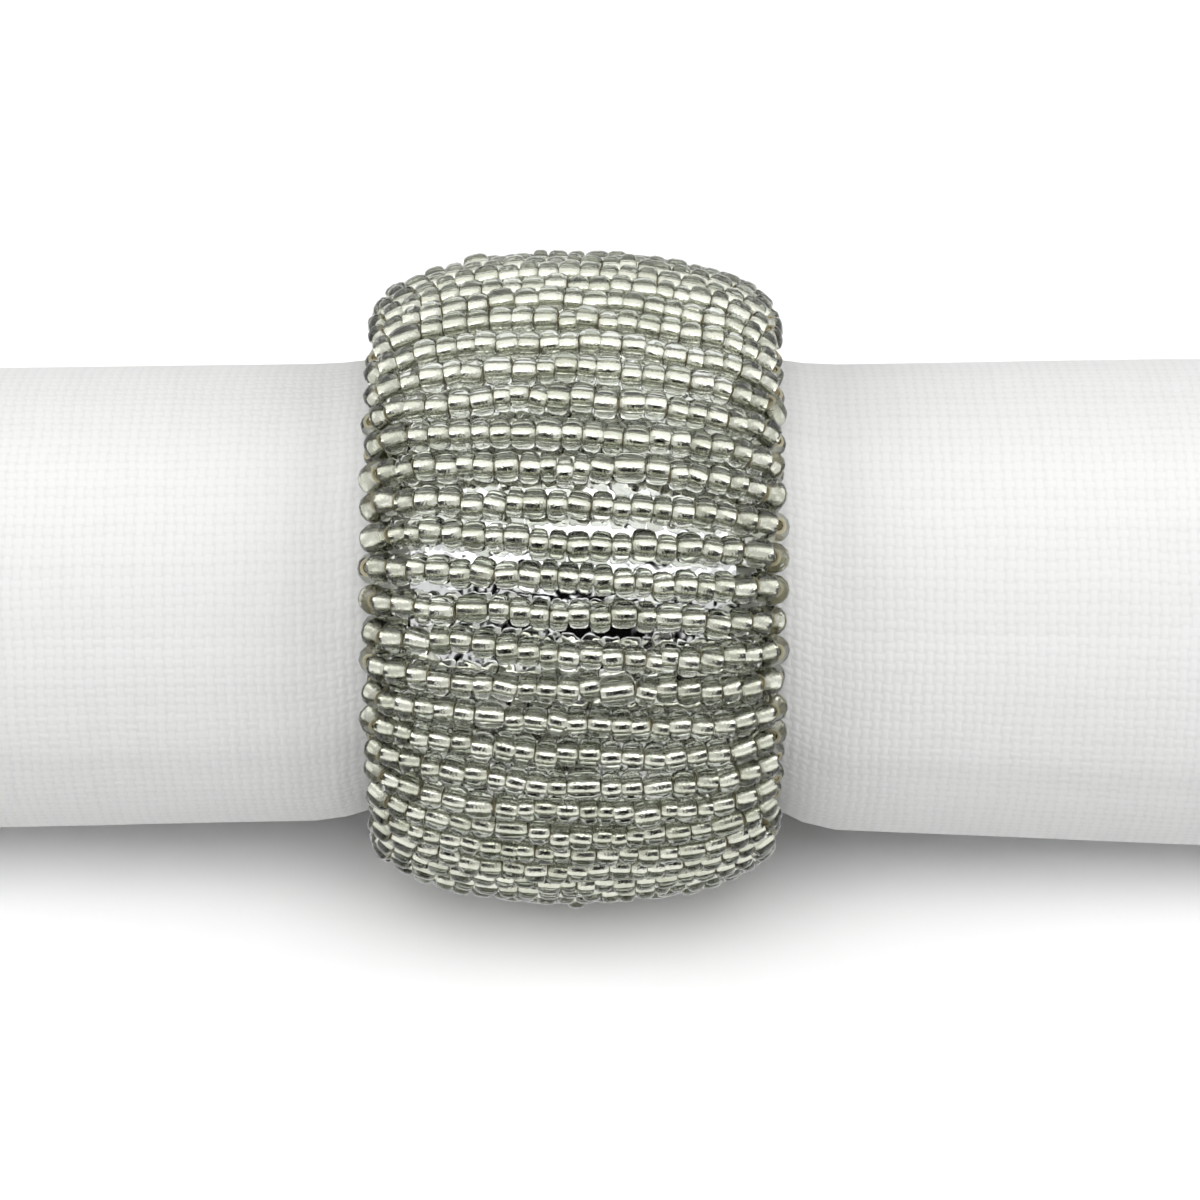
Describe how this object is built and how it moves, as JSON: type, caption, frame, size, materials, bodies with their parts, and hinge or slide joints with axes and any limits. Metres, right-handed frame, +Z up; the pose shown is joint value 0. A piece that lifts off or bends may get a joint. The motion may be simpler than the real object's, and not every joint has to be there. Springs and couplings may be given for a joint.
{
  "type": "napkin in a ring",
  "caption": "Cloth napkin folded in thirds, rolled up and held round its middle by a domed ring wound with rows of glass seed beads.",
  "frame": {"origin": "bottom centre, on the flat of the bead wrap where the ring rests on the surface, midway along the roll", "axes": "+X along the roll and the ring's axis, +Z up"},
  "size_m": [0.1692, 0.0538, 0.0536],
  "materials": {
    "white_linen": "plain-woven white linen-look cloth, matt, with faint thread slubs",
    "bright_silver": "bright silver plate, smooth",
    "silver_lined_glass": "clear glass seed beads with a bright silver lining in the hole"
  },
  "bodies": {
    "root": {"napkin_roll": "white_linen", "ring_band": "bright_silver", "bead_wrap": "silver_lined_glass"}
  },
  "joints": []
}
